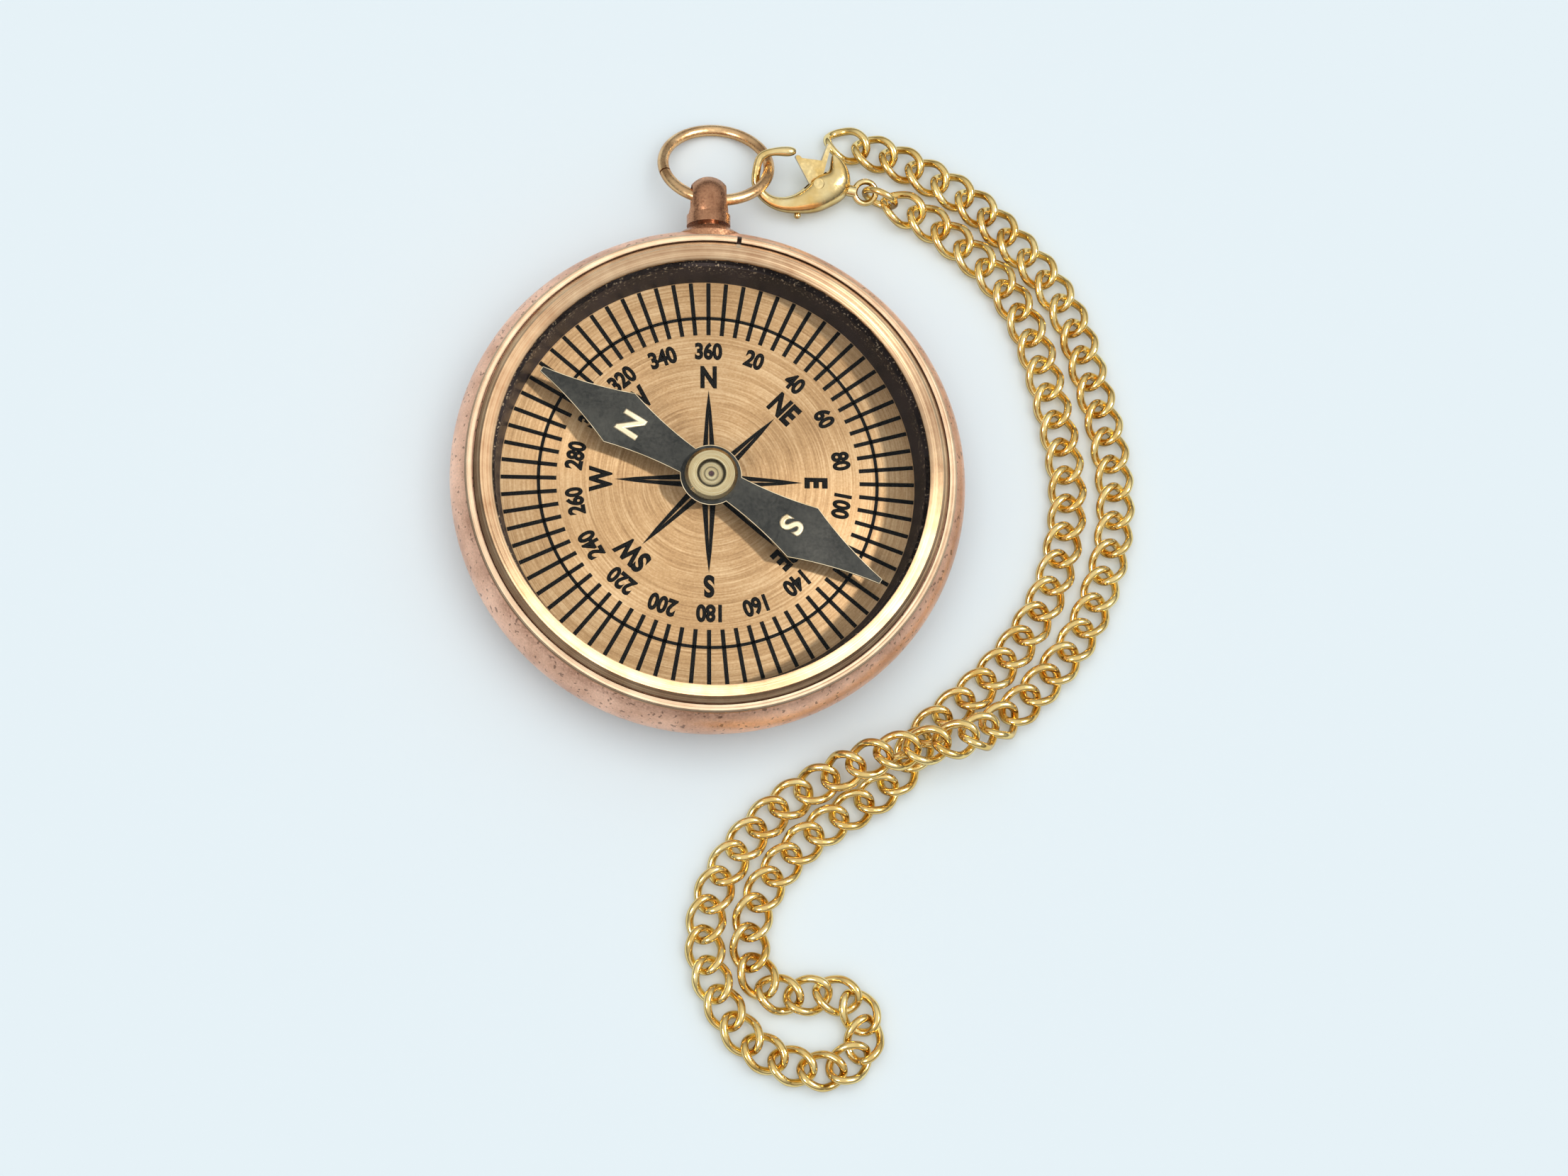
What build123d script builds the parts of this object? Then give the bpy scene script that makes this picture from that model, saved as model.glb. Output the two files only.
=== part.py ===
from build123d import *
import math
import os

# Pocket compass with bow, clasp and chain. Millimetres, +Z up out of the dial, +Y towards the pendant.
# The origin is the middle of the flat back, which lies on the table.

# Case pan: a spun shell with a flat back, a bulged side and an open mouth
case_radius = 25.4
case_back_radius = 17.0
case_widest_height = 6.4
case_mouth_radius = 24.0
case_mouth_height = 9.6
case_wall = 0.8

# Rim ring on the mouth, split beside the pendant
rim_height = 0.75
rim_width = 0.72
rim_split = 0.45
rim_split_angle = 83.5
rim_round = 0.2

# Bezel: a skirt inside the mouth and a ridged lip over the crystal
fit_clearance = 0.05
seam_width = 0.16
bezel_skirt = 0.7
bezel_skirt_depth = 3.0
bezel_lip_radius = 21.35
bezel_ridge_radius = 22.55
bezel_ridge_height = 0.55
bezel_lip_edge = 0.3

# Crystal, flange ring and dial, stacked under the lip
crystal_thickness = 1.1
flange_foot_radius = 20.5
flange_top_radius = 21.1
dial_height = 5.6
dial_thickness = 0.8
spacer_width = 1.4

# Needle, its bearing and the post that carries it
needle_rest_angle = 148
needle_length = 19.6
needle_thickness = 0.3
needle_lift = 2.1
needle_shoulder_width = 5.8
needle_shoulder_reach = 10.6
needle_tip_width = 0.5
needle_neck_width = 2.6
needle_disc_radius = 3.0
needle_waist_share = 0.82
cap_radius = 2.6
cap_height = 0.8
cap_recess_radius = 1.4
cap_recess_depth = 0.3
cap_neck_radius = 1.2
cap_tail = 0.5
jewel_radius = 0.75
jewel_height = 0.8
jewel_cone_depth = 0.45
jewel_cone_radius = 0.5
peephole_radius = 0.27
pin_radius = 0.4
pin_point_length = 1.2
pin_tip_radius = 0.05
pin_gap = 0.04
bush_radius = 1.5
bush_flange = 0.5
bush_spigot_radius = 1.0
bush_tail = 0.6

# Pendant: stud, saddle and bell-shaped knob on an axis along +Y
pendant_height = 5.8
saddle_foot_radius = 3.6
saddle_top_radius = 2.3
saddle_rise = 0.45
stud_radius = 1.1
stud_head_radius = 1.4
stud_head_thickness = 0.6
stud_neck = 0.5
knob_collar_radius = 2.2
knob_collar_height = 1.05
knob_waist_radius = 1.9
knob_radius = 2.22
knob_length = 4.1
knob_hole_reach = 1.85
knob_hole_radius = 0.8
knob_hole_flare = 1.62
knob_thread_depth = 0.9

# Bow: a wire ring that leans on the table, off centre in the knob's hole
bow_radius = 5.4
bow_wire = 1.15
bow_offset = 1.0
bow_split = 0.18
bow_split_angle = 196
table_gap = 0.03

# Clasp: a teardrop claw. Places are shares of its length from the bow's wire, with X towards the eye.
claw_length = 10.0
claw_shares = (
    (0.266, 0.197), (0.240, 0.195), (0.045, 0.178), (-0.095, 0.108), (-0.125, -0.015), (-0.122, -0.150),
    (-0.020, -0.285), (0.118, -0.344), (0.305, -0.336), (0.486, -0.263), (0.575, -0.202),
    (0.655, -0.140), (0.730, -0.010), (0.705, 0.095), (0.675, 0.155), (0.660, 0.180),
)
# Half the claw's width in its own plane at each place, and half its height across that plane
claw_width_shares = (
    0.022, 0.040, 0.042, 0.042, 0.043, 0.046, 0.053, 0.070,
    0.101, 0.154, 0.172, 0.182, 0.125, 0.075, 0.042, 0.022,
)
claw_height_shares = (
    0.022, 0.040, 0.042, 0.042, 0.043, 0.046, 0.053, 0.068,
    0.090, 0.125, 0.134, 0.140, 0.110, 0.070, 0.042, 0.022,
)
clasp_bow_angle = -4
clasp_roll = 23
eye_reach = 10.2
eye_drop = 1.74
eye_hole_radius = 0.8
eye_wire = 0.62
eye_height = 1.8
eye_stub_radius = 0.6
nub_radius = 0.36
nub_section = 8
hook_tip_section = 1

# Gate: a sprung lever on a rivet in the claw's slot
gate_thickness = 0.7
gate_slot_gap = 0.08
gate_root_radius = 0.75
gate_tip_width = 0.5
gate_tip_gap = 0.12
gate_lever_length = 3.95
gate_lever_angle = 76
gate_lever_width = 0.75
gate_web_share = 0.6
slot_radius = 1.45
pivot_section = 10
pivot_offset = 1.15
rivet_radius = 0.34
rivet_head_radius = 0.52
rivet_head_height = 0.12
rivet_gap = 0.03
spring_thickness = 0.14
spring_gap = 0.12
spring_start_angle = 215
spring_sweep = 110

# Chain: curb links twisted so that joined links lie flat
link_length = 5.0
link_width = 4.0
link_wire = 0.8
link_twist = 0.82
link_slack = 0.43
jump_ring_length = 4.0
jump_ring_wire = 0.7
jump_ring_gap = 0.25
jump_hold_angle = 37
chain_reach = 100.0
crossing_gap = 0.4

# The chain's route from the jump ring to its loose end, as shares of chain_reach from the clasp's eye.
# The third share is the rise at the crossing, as a share of the lift over one strand.
inner_route_shares = (
    (0.070, -0.030, 0), (0.094, -0.049, 0), (0.120, -0.070, 0), (0.143, -0.096, 0),
    (0.160, -0.123, 0), (0.173, -0.156, 0), (0.182, -0.187, 0), (0.189, -0.217, 0), (0.196, -0.247, 0),
    (0.201, -0.277, 0), (0.204, -0.307, 0), (0.203, -0.337, 0), (0.198, -0.367, 0), (0.190, -0.396, 0),
    (0.179, -0.424, 0), (0.164, -0.450, 0), (0.146, -0.476, 0), (0.124, -0.500, 0), (0.100, -0.523, 0),
    (0.077, -0.542, 0), (0.054, -0.561, 0), (0.038, -0.587, 0), (0.020, -0.612, 0), (-0.004, -0.629, 0),
    (-0.033, -0.647, 0), (-0.062, -0.666, 0), (-0.086, -0.689, 0), (-0.104, -0.712, 0), (-0.118, -0.738, 0),
    (-0.123, -0.765, 0), (-0.122, -0.785, 0),
)
tail_route_shares = (
    (-0.117, -0.803, 0), (-0.102, -0.818, 0), (-0.081, -0.824, 0), (-0.063, -0.820, 0), (-0.043, -0.816, 0),
    (-0.024, -0.823, 0), (-0.011, -0.839, 0), (-0.008, -0.859, 0), (-0.015, -0.878, 0), (-0.030, -0.891, 0),
    (-0.050, -0.894, 0), (-0.080, -0.889, 0), (-0.108, -0.877, 0), (-0.128, -0.862, 0),
)
outer_route_shares = (
    (-0.142, -0.842, 0), (-0.157, -0.812, 0), (-0.166, -0.781, 0), (-0.166, -0.751, 0), (-0.158, -0.723, 0),
    (-0.146, -0.697, 0), (-0.128, -0.673, 0), (-0.108, -0.651, 0), (-0.084, -0.631, 0), (-0.058, -0.615, 0),
    (-0.030, -0.601, 0.5), (-0.002, -0.590, 1), (0.028, -0.583, 1), (0.058, -0.577, 1), (0.088, -0.571, 1),
    (0.116, -0.559, 0.5), (0.142, -0.541, 0), (0.165, -0.519, 0), (0.186, -0.497, 0), (0.205, -0.473, 0),
    (0.221, -0.447, 0), (0.233, -0.418, 0), (0.243, -0.389, 0), (0.250, -0.360, 0), (0.253, -0.330, 0),
    (0.253, -0.300, 0), (0.249, -0.270, 0), (0.244, -0.240, 0), (0.236, -0.211, 0), (0.228, -0.182, 0),
    (0.221, -0.153, 0), (0.210, -0.124, 0), (0.195, -0.097, 0), (0.177, -0.072, 0), (0.155, -0.049, 0),
    (0.134, -0.026, 0), (0.110, -0.005, 0), (0.082, 0.013, 0), (0.053, 0.028, 0), (0.025, 0.041, 0),
    (-0.004, 0.049, 0), (-0.032, 0.057, 0),
)
# Where the chain bends: the places along the route, as shares of its length, where one run ends
run_end_shares = (0.0805, 0.150, 0.230, 0.3335, 0.586, 0.713, 0.8045)
run_names = ("a_inner", "b_inner", "c_inner", "d_inner", "e_tail", "d_outer", "c_outer", "b_outer")
run_node_counts = (3, 2, 3, 4, 7, 4, 3, 6)

cut_overrun = 1.0
from_base = (Align.CENTER, Align.CENTER, Align.MIN)

# Heights and radii that follow from the sizes above
crystal_top = case_mouth_height + rim_height - bezel_lip_edge
crystal_bottom = crystal_top - crystal_thickness
mouth_inner_radius = case_mouth_radius - case_wall
bezel_outer_radius = mouth_inner_radius - fit_clearance
bezel_skirt_radius = bezel_outer_radius - bezel_skirt
stack_radius = bezel_skirt_radius - fit_clearance
needle_height = dial_height + needle_lift
cap_top = needle_height + needle_thickness + cap_height
jewel_top = cap_top - cap_recess_depth
pin_tip_height = jewel_top - jewel_height + jewel_cone_depth - pin_gap

saddle_top = case_radius + saddle_rise
knob_foot = saddle_top + stud_neck
knob_top = knob_foot + knob_collar_height + knob_length
hole_reach = knob_foot + knob_collar_height + knob_hole_reach
bow_centre_reach = math.sqrt(bow_radius**2 - bow_offset**2)
bow_fall = pendant_height - bow_wire / 2 - table_gap
bow_drop = math.degrees(math.asin(bow_fall / (bow_centre_reach + bow_radius)))

claw_places = [Vector(x * claw_length, y * claw_length, 0) for x, y in claw_shares]
claw_half_widths = [share * claw_length for share in claw_width_shares]
claw_half_heights = [share * claw_length for share in claw_height_shares]

link_half_length = (link_length - link_wire) / 2
link_half_width = (link_width - link_wire) / 2
link_pitch = link_length - 2 * link_wire - link_slack
link_rest_height = link_twist + link_wire / 2 + table_gap
crossing_lift = 2 * link_twist + link_wire + crossing_gap
jump_ring_radius = (jump_ring_length - jump_ring_wire) / 2
jump_ring_height = jump_ring_radius + jump_ring_wire / 2 + table_gap


def turned(edges):
    """A solid turned about Z from edges drawn as (radius, height)."""
    return revolve(Plane.XZ * make_face(edges), Axis.Z)


def turned_outline(*points):
    """A solid turned about Z from a straight-sided outline."""
    return turned(Polyline(*points, close=True).edges())


def pendant_turned(edges):
    """A solid turned about the pendant's axis from edges drawn as (radius, reach)."""
    return Pos(0, 0, pendant_height) * Rot(X=-90) * revolve(Plane.XZ * make_face(edges), Axis.Z)


def pan_side(inset):
    """The pan's side, from its back to its mouth, moved in by the wall."""
    middle = (case_back_radius, case_widest_height)
    width = case_radius - case_back_radius - inset
    height = case_widest_height - inset
    lower = EllipticalCenterArc(middle, width, height, start_angle=270, arc_size=90)
    widest = (case_radius - inset, case_widest_height)
    mouth = (case_mouth_radius - inset, case_mouth_height)
    return lower, TangentArc(widest, mouth, tangent=(0, 1)), mouth


def case_pan():
    outer, outer_shoulder, outer_mouth = pan_side(0)
    inner, inner_shoulder, inner_mouth = pan_side(case_wall)
    edges = [
        Line((0, 0), (case_back_radius, 0)),
        outer,
        outer_shoulder,
        Line(outer_mouth, inner_mouth),
        inner_shoulder,
        inner,
        Line((case_back_radius, case_wall), (0, case_wall)),
        Line((0, case_wall), (0, 0)),
    ]
    pan = turned(edges)
    stud_hole = Rot(X=-90) * extrude(Circle(stud_radius + fit_clearance), case_radius + cut_overrun)
    return pan - Pos(0, 0, pendant_height) * stud_hole


def pan_blank():
    """The pan's outer shape as one solid, for seating the saddle on it."""
    outer, shoulder, mouth = pan_side(0)
    edges = [
        Line((0, 0), (case_back_radius, 0)),
        outer,
        shoulder,
        Line(mouth, (0, case_mouth_height)),
        Line((0, case_mouth_height), (0, 0)),
    ]
    return turned(edges)


def rim_ring():
    inner = bezel_outer_radius + seam_width
    outer = inner + rim_width
    ring = turned_outline(
        (inner, case_mouth_height),
        (outer, case_mouth_height),
        (outer, case_mouth_height + rim_height - rim_round),
        (outer - rim_round, case_mouth_height + rim_height),
        (inner, case_mouth_height + rim_height),
    )
    gap = Box(2 * rim_width, rim_split, 2 * rim_height + cut_overrun)
    return ring - Rot(Z=rim_split_angle) * Pos((inner + outer) / 2, 0, case_mouth_height) * gap


def bezel_ring():
    shoulder = case_mouth_height + rim_height
    return turned_outline(
        (bezel_skirt_radius, crystal_top - bezel_skirt_depth),
        (bezel_outer_radius, crystal_top - bezel_skirt_depth),
        (bezel_outer_radius, shoulder),
        (bezel_ridge_radius, shoulder + bezel_ridge_height),
        (bezel_lip_radius, crystal_top + bezel_lip_edge),
        (bezel_lip_radius, crystal_top),
        (bezel_skirt_radius, crystal_top),
    )


def crystal():
    return turned_outline(
        (0, crystal_bottom), (stack_radius, crystal_bottom), (stack_radius, crystal_top), (0, crystal_top)
    )


def flange_ring():
    return turned_outline(
        (flange_foot_radius, dial_height),
        (stack_radius, dial_height),
        (stack_radius, crystal_bottom),
        (flange_top_radius, crystal_bottom),
    )


def dial_plate():
    return turned_outline(
        (bush_spigot_radius + fit_clearance, dial_height - dial_thickness),
        (stack_radius, dial_height - dial_thickness),
        (stack_radius, dial_height),
        (bush_spigot_radius + fit_clearance, dial_height),
    )


def dial_spacer():
    under_dial = dial_height - dial_thickness
    return turned_outline(
        (case_back_radius - spacer_width, case_wall),
        (case_back_radius, case_wall),
        (case_back_radius, under_dial),
        (case_back_radius - spacer_width, under_dial),
    )


def pivot_bush():
    bottom = dial_height - dial_thickness - bush_tail
    bore = pin_radius + fit_clearance
    return turned_outline(
        (bore, bottom),
        (bush_spigot_radius, bottom),
        (bush_spigot_radius, dial_height),
        (bush_radius, dial_height),
        (bush_radius, dial_height + bush_flange / 2),
        (bush_spigot_radius, dial_height + bush_flange),
        (bore, dial_height + bush_flange),
    )


def pivot_pin():
    return turned_outline(
        (0, dial_height - dial_thickness - bush_tail),
        (pin_radius, dial_height - dial_thickness - bush_tail),
        (pin_radius, pin_tip_height - pin_point_length),
        (pin_tip_radius, pin_tip_height),
        (0, pin_tip_height),
    )


def needle_half():
    """One leaf of the needle along +X: concave from the hub to the shoulder and from there to the tip."""
    shoulder = (needle_shoulder_reach, needle_shoulder_width / 2)
    neck = (0, needle_neck_width / 2)
    tip = (needle_length, needle_tip_width / 2)
    inner_middle = (shoulder[0] / 2, (neck[1] + shoulder[1]) / 2 * needle_waist_share)
    outer_middle = ((shoulder[0] + tip[0]) / 2, (tip[1] + shoulder[1]) / 2 * needle_waist_share)
    upper = [ThreePointArc(neck, inner_middle, shoulder), ThreePointArc(shoulder, outer_middle, tip)]
    lower = [edge.mirror(Plane.XZ) for edge in upper]
    ends = [Line(tip, (tip[0], -tip[1])), Line(neck, (neck[0], -neck[1]))]
    return make_face(upper + lower + ends)


def needle_turned_to_rest(solid):
    return Rot(Z=needle_rest_angle) * solid


def needle_blade():
    leaf = needle_half()
    outline = leaf + leaf.rotate(Axis.Z, 180) + Circle(needle_disc_radius)
    outline -= Circle(cap_neck_radius + fit_clearance)
    return needle_turned_to_rest(Pos(0, 0, needle_height) * extrude(outline, needle_thickness))


def needle_cap():
    top_of_blade = needle_height + needle_thickness
    bore = jewel_radius + fit_clearance
    return turned_outline(
        (bore, needle_height - cap_tail),
        (cap_neck_radius, needle_height - cap_tail),
        (cap_neck_radius, top_of_blade),
        (cap_radius, top_of_blade),
        (cap_radius, cap_top - cap_recess_depth),
        (cap_radius - cap_recess_depth, cap_top),
        (cap_recess_radius, cap_top),
        (cap_recess_radius, jewel_top),
        (peephole_radius, jewel_top),
        (peephole_radius, jewel_top - fit_clearance),
        (bore, jewel_top - fit_clearance),
    )


def needle_jewel():
    top = jewel_top - fit_clearance
    bottom = jewel_top - jewel_height
    return turned_outline(
        (0, bottom + jewel_cone_depth),
        (jewel_cone_radius, bottom),
        (jewel_radius, bottom),
        (jewel_radius, top),
        (0, top),
    )


def pendant_saddle():
    edges = Polyline(
        (stud_radius + fit_clearance, 0),
        (saddle_foot_radius, 0),
        (saddle_foot_radius, case_radius - saddle_rise),
        (saddle_top_radius, saddle_top),
        (stud_radius + fit_clearance, saddle_top),
        close=True,
    ).edges()
    return pendant_turned(edges) - pan_blank()


def stud_head_face():
    """Where the stud's flat head clears the curved inside of the pan at the head's lowest edge."""
    below_widest = case_widest_height - pendant_height + stud_head_radius
    height_share = below_widest / (case_widest_height - case_wall)
    inside_bulge = (case_radius - case_back_radius - case_wall) * math.sqrt(1 - height_share**2)
    inside = case_back_radius + inside_bulge
    return math.sqrt(inside**2 - stud_head_radius**2) - fit_clearance


def pendant_stud():
    head = stud_head_face()
    edges = Polyline(
        (0, head - stud_head_thickness),
        (stud_head_radius, head - stud_head_thickness),
        (stud_head_radius, head),
        (stud_radius, head),
        (stud_radius, knob_foot + knob_thread_depth),
        (0, knob_foot + knob_thread_depth),
        close=True,
    ).edges()
    return pendant_turned(edges)


def pendant_knob():
    socket_radius = stud_radius + fit_clearance
    socket_top = knob_foot + knob_thread_depth + fit_clearance
    waist = knob_foot + knob_collar_height
    dome_start = knob_top - knob_radius
    edges = [
        Line((socket_radius, knob_foot), (knob_collar_radius, knob_foot)),
        Line((knob_collar_radius, knob_foot), (knob_collar_radius, waist)),
        Line((knob_collar_radius, waist), (knob_waist_radius, waist)),
        TangentArc((knob_radius, dome_start), (knob_waist_radius, waist), tangent=(0, -1)),
        CenterArc((0, dome_start), knob_radius, 0, 90),
        Line((0, knob_top), (0, socket_top)),
        Line((0, socket_top), (socket_radius, socket_top)),
        Line((socket_radius, socket_top), (socket_radius, knob_foot)),
    ]
    half_hole = Cone(knob_hole_radius, knob_hole_flare, knob_radius, align=from_base)
    hole = Rot(Y=90) * half_hole + Rot(Y=-90) * half_hole
    return pendant_turned(edges) - Pos(0, hole_reach, pendant_height) * hole


# The bow's own plane holds X and the slope down to the table. Its origin is in the knob's hole.
bow_plane = Plane(
    origin=(0, hole_reach, pendant_height),
    x_dir=(1, 0, 0),
    z_dir=(0, math.sin(math.radians(bow_drop)), math.cos(math.radians(bow_drop))),
)


def bow_ring():
    gap_angle = math.degrees(bow_split / bow_radius)
    path = CenterArc((bow_offset, bow_centre_reach), bow_radius, bow_split_angle, 360 - gap_angle)
    section = Plane(origin=path @ 0, z_dir=path % 0) * Circle(bow_wire / 2)
    return bow_plane * sweep(section, path)


# The clasp lies from the bow's wire down to its eye on the table. Its plane's origin is on the wire.
bow_grip = bow_plane.from_local_coords(
    Vector(
        bow_offset + bow_radius * math.cos(math.radians(clasp_bow_angle)),
        bow_centre_reach + bow_radius * math.sin(math.radians(clasp_bow_angle)),
        0,
    )
)
eye_roll_drop = eye_drop * math.sin(math.radians(clasp_roll))
eye_swing = math.atan2(eye_roll_drop, eye_reach)
clasp_pitch = math.degrees(
    math.asin((bow_grip.Z - eye_height) / math.hypot(eye_reach, eye_roll_drop)) - eye_swing
)
clasp_place = Pos(bow_grip) * Rot(Y=clasp_pitch) * Rot(X=clasp_roll)


def claw_heading(n):
    """The claw's direction at one of its places, taken from the places beside it."""
    before = claw_places[max(n - 1, 0)]
    after = claw_places[min(n + 1, len(claw_places) - 1)]
    return (after - before).normalized()


def claw_inward(n):
    """The direction across the claw, towards its opening."""
    heading = claw_heading(n)
    return Vector(-heading.Y, heading.X, 0)


def claw_section(n):
    plane = Plane(origin=claw_places[n], x_dir=-claw_inward(n), z_dir=claw_heading(n))
    return plane * Ellipse(claw_half_widths[n], claw_half_heights[n])


def turned_away(angle, reach):
    """A place in the clasp's plane, at an angle and a distance."""
    turn = math.radians(angle)
    return Vector(reach * math.cos(turn), reach * math.sin(turn), 0)


eye_middle = Vector(eye_reach, -eye_drop, 0)
gate_pivot = claw_places[pivot_section] + claw_inward(pivot_section) * pivot_offset


def slot_cutter():
    """The room in the claw for the gate's root, and for its lever over the gate's travel."""
    thickness = gate_thickness + 2 * gate_slot_gap
    room = Cylinder(slot_radius, thickness)
    lever_edge = gate_lever_width / 2 + gate_slot_gap
    mouth_width = 2 * slot_radius + lever_edge
    mouth = Box(mouth_width, gate_lever_length, thickness, align=(Align.MAX, Align.MIN, Align.CENTER))
    return Pos(gate_pivot) * (room + Rot(Z=gate_lever_angle - 90) * Pos(lever_edge, 0, 0) * mouth)


def clasp_body():
    claw = loft([claw_section(n) for n in range(len(claw_places))])
    eye = Pos(eye_middle) * Torus(eye_hole_radius + eye_wire / 2, eye_wire / 2)
    stub_start = claw_places[pivot_section + 1]
    stub_end = eye_middle - Vector(eye_hole_radius + eye_wire / 2, 0, 0)
    stub_line = Line(stub_start, stub_end)
    stub = sweep(Plane(origin=stub_start, z_dir=stub_line % 0) * Circle(eye_stub_radius), stub_line)
    nub_reach = claw_half_widths[nub_section] + nub_radius / 2
    nub = Pos(claw_places[nub_section] - claw_inward(nub_section) * nub_reach) * Sphere(nub_radius)
    body = claw + stub + eye + nub
    pin_hole = Cylinder(rivet_radius + rivet_gap / 2, claw_length)
    head_room = Cylinder(rivet_head_radius + rivet_gap, claw_length, align=from_base)
    seat = rivet_half_length()
    spot_faces = Pos(0, 0, seat) * head_room + Pos(0, 0, -seat) * Rot(X=180) * head_room
    return clasp_place * (body - slot_cutter() - Pos(gate_pivot) * (pin_hole + spot_faces))


def arm(start, end, start_width, end_width):
    """A flat tapered arm between two points, for the gate."""
    along = (end - start).normalized()
    across = Vector(-along.Y, along.X, 0)
    corners = [
        start + across * (start_width / 2),
        end + across * (end_width / 2),
        end - across * (end_width / 2),
        start - across * (start_width / 2),
    ]
    return make_face(Polyline(*corners, close=True).edges()) + Pos(end) * Circle(end_width / 2)


def clasp_gate():
    hook_tip = claw_places[hook_tip_section]
    tip_reach = claw_half_widths[hook_tip_section] + gate_tip_gap + gate_tip_width / 2
    gate_tip = hook_tip + (gate_pivot - hook_tip).normalized() * tip_reach
    lever_tip = gate_pivot + turned_away(gate_lever_angle, gate_lever_length)
    web_top = gate_pivot + turned_away(gate_lever_angle, gate_lever_length * gate_web_share)
    outline = (
        Pos(gate_pivot) * Circle(gate_root_radius)
        + arm(gate_pivot, gate_tip, 2 * gate_root_radius, gate_tip_width)
        + arm(gate_pivot, lever_tip, gate_lever_width, gate_lever_width / 2)
        + make_face(Polyline(gate_pivot, gate_tip, web_top, close=True).edges())
    )
    plate = extrude(outline, gate_thickness / 2, both=True)
    bore = Pos(gate_pivot) * Cylinder(rivet_radius + rivet_gap, 2 * gate_thickness)
    return clasp_place * (plate - bore)


def rivet_half_length():
    """Half the claw's thickness where the rivet crosses it."""
    across_share = pivot_offset / claw_half_widths[pivot_section]
    return claw_half_heights[pivot_section] * math.sqrt(1 - across_share**2)


def clasp_rivet():
    half = rivet_half_length()
    shank = Cylinder(rivet_radius, 2 * half)
    head = Cylinder(rivet_head_radius, rivet_head_height, align=from_base)
    solid = shank + Pos(0, 0, half) * head + Pos(0, 0, -half) * Rot(X=180) * head
    return clasp_place * (Pos(gate_pivot) * solid)


def clasp_spring():
    outer = slot_radius - spring_gap
    ring = Circle(outer) - Circle(outer - spring_thickness)
    sector = make_face(
        [
            Line((0, 0), turned_away(spring_start_angle, 2 * outer)),
            CenterArc((0, 0), 2 * outer, spring_start_angle, spring_sweep),
            Line(turned_away(spring_start_angle + spring_sweep, 2 * outer), (0, 0)),
        ]
    )
    leaf = extrude(ring & sector, gate_thickness / 2, both=True)
    return clasp_place * (Pos(gate_pivot) * leaf)


eye_world = (clasp_place * Location(eye_middle)).position

# The jump ring stands on edge, with the clasp's eye and the first link inside it.
chain_heading = Vector(inner_route_shares[0][0], inner_route_shares[0][1], 0).normalized()
ring_eye_drop = jump_ring_height - eye_world.Z
ring_middle = eye_world + chain_heading * math.sqrt(jump_ring_radius**2 - ring_eye_drop**2)
ring_middle += Vector(0, 0, ring_eye_drop)


def route_start():
    """Where the first link's near contact lies when its end wire rests inside the jump ring."""
    hold = math.radians(jump_hold_angle)
    end_wire_reach = jump_ring_radius - (jump_ring_wire + link_wire) / 2 - jump_ring_gap
    along = end_wire_reach * math.cos(hold) + link_half_length - link_pitch / 2
    return ring_middle + chain_heading * along - Vector(0, 0, end_wire_reach * math.sin(hold))


def route_point(share):
    x, y, rise = share
    height = link_rest_height + rise * crossing_lift
    return Vector(eye_world.X + x * chain_reach, eye_world.Y + y * chain_reach, height)


def half_link_path():
    """Half of a link's centreline, as four arcs that run smoothly into each other."""
    quarter_points = [
        Vector(link_half_length, 0, 0),
        Vector(0, link_half_width, 0),
        Vector(-link_half_length, 0, 0),
    ]
    headings = [
        Vector(0, link_half_width, 2 * link_twist).normalized(),
        Vector(-link_half_length, 0, -2 * link_twist).normalized(),
        Vector(0, -link_half_width, 2 * link_twist).normalized(),
    ]
    arcs = []
    for start, end, leave, arrive in zip(quarter_points, quarter_points[1:], headings, headings[1:]):
        chord = end - start
        both = leave + arrive
        square = both.dot(both) - 4
        half = chord.dot(both)
        reach = (half - math.sqrt(half**2 - square * chord.dot(chord))) / square
        first_corner = start + leave * reach
        second_corner = end - arrive * reach
        meeting = (first_corner + second_corner) * 0.5
        arcs.append(Edge.make_tangent_arc(start, leave, meeting))
        arcs.append(Edge.make_tangent_arc(meeting, second_corner - first_corner, end))
    return Wire(arcs), headings[0]


def one_link():
    path, heading = half_link_path()
    section = Plane(origin=(link_half_length, 0, 0), z_dir=heading) * Circle(link_wire / 2)
    half = sweep(section, path)
    return half + half.rotate(Axis.Z, 180)


def level_plane(start, end):
    """A plane between two places on the route, along it and otherwise level."""
    along = (end - start).normalized()
    up = Vector(0, 0, 1) - along * along.Z
    return Plane(origin=(start + end) * 0.5, x_dir=along, z_dir=up.normalized())


def chain_contacts():
    """The places along the route where one link holds the next, a pitch apart."""
    shares = inner_route_shares + tail_route_shares + outer_route_shares
    route = Spline(route_start(), *[route_point(share) for share in shares])
    count = round(route.length / link_pitch)
    step = route.length / count
    return [route.position_at(step * n, position_mode=PositionMode.LENGTH) for n in range(count + 1)]


def chain_runs(contacts):
    """The links of each run of the chain, and the contact that ends it."""
    link = one_link()
    links = [level_plane(start, end).location * link for start, end in zip(contacts, contacts[1:])]
    ends = [round(share * len(links)) for share in run_end_shares] + [len(links)]
    starts = [0] + ends[:-1]
    return [(links[start:end], end) for start, end in zip(starts, ends)]


def jump_ring():
    """The ring on edge that joins the clasp's eye and the first link."""
    plane = Plane(origin=ring_middle, x_dir=chain_heading, z_dir=chain_heading.cross(Vector(0, 0, 1)))
    return plane.location * Torus(jump_ring_radius, jump_ring_wire / 2)


def write(name, shape):
    export_step(shape, os.path.join("parts", name + ".step"))


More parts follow.
